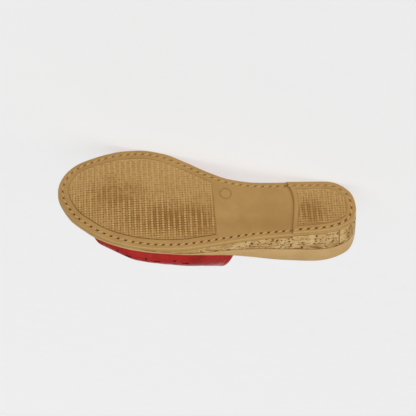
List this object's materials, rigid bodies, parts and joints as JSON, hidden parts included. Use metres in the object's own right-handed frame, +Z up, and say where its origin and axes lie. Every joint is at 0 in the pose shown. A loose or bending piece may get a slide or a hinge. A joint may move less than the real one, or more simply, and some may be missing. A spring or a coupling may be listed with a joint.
{
  "type": "slide sandal",
  "caption": "Right-foot slide sandal with a red leather vamp, open toe and heel, a cork-look wedge and a tan stitched rubber outsole, lying on its side.",
  "frame": {"origin": "middle of the bounding box on the floor the sandal lies on", "axes": "+X along the sandal from heel to toe, +Y from the tread to the upper, +Z up from the medial to the lateral side"},
  "size_m": [0.2572, 0.0816, 0.0943],
  "materials": {
    "outsole_rubber": "matte, moulded tread and stitch marks",
    "cork": "cork grain with dark flecks",
    "footbed_cover": "smooth tan cover, satin",
    "sock_leather": "smooth tan sock, satin",
    "red_leather": "soft full-grain leather, satin"
  },
  "bodies": {
    "root": {"outsole": "outsole_rubber", "cork_wedge": "cork", "footbed": "footbed_cover", "insole": "sock_leather", "upper": "red_leather"}
  },
  "joints": []
}
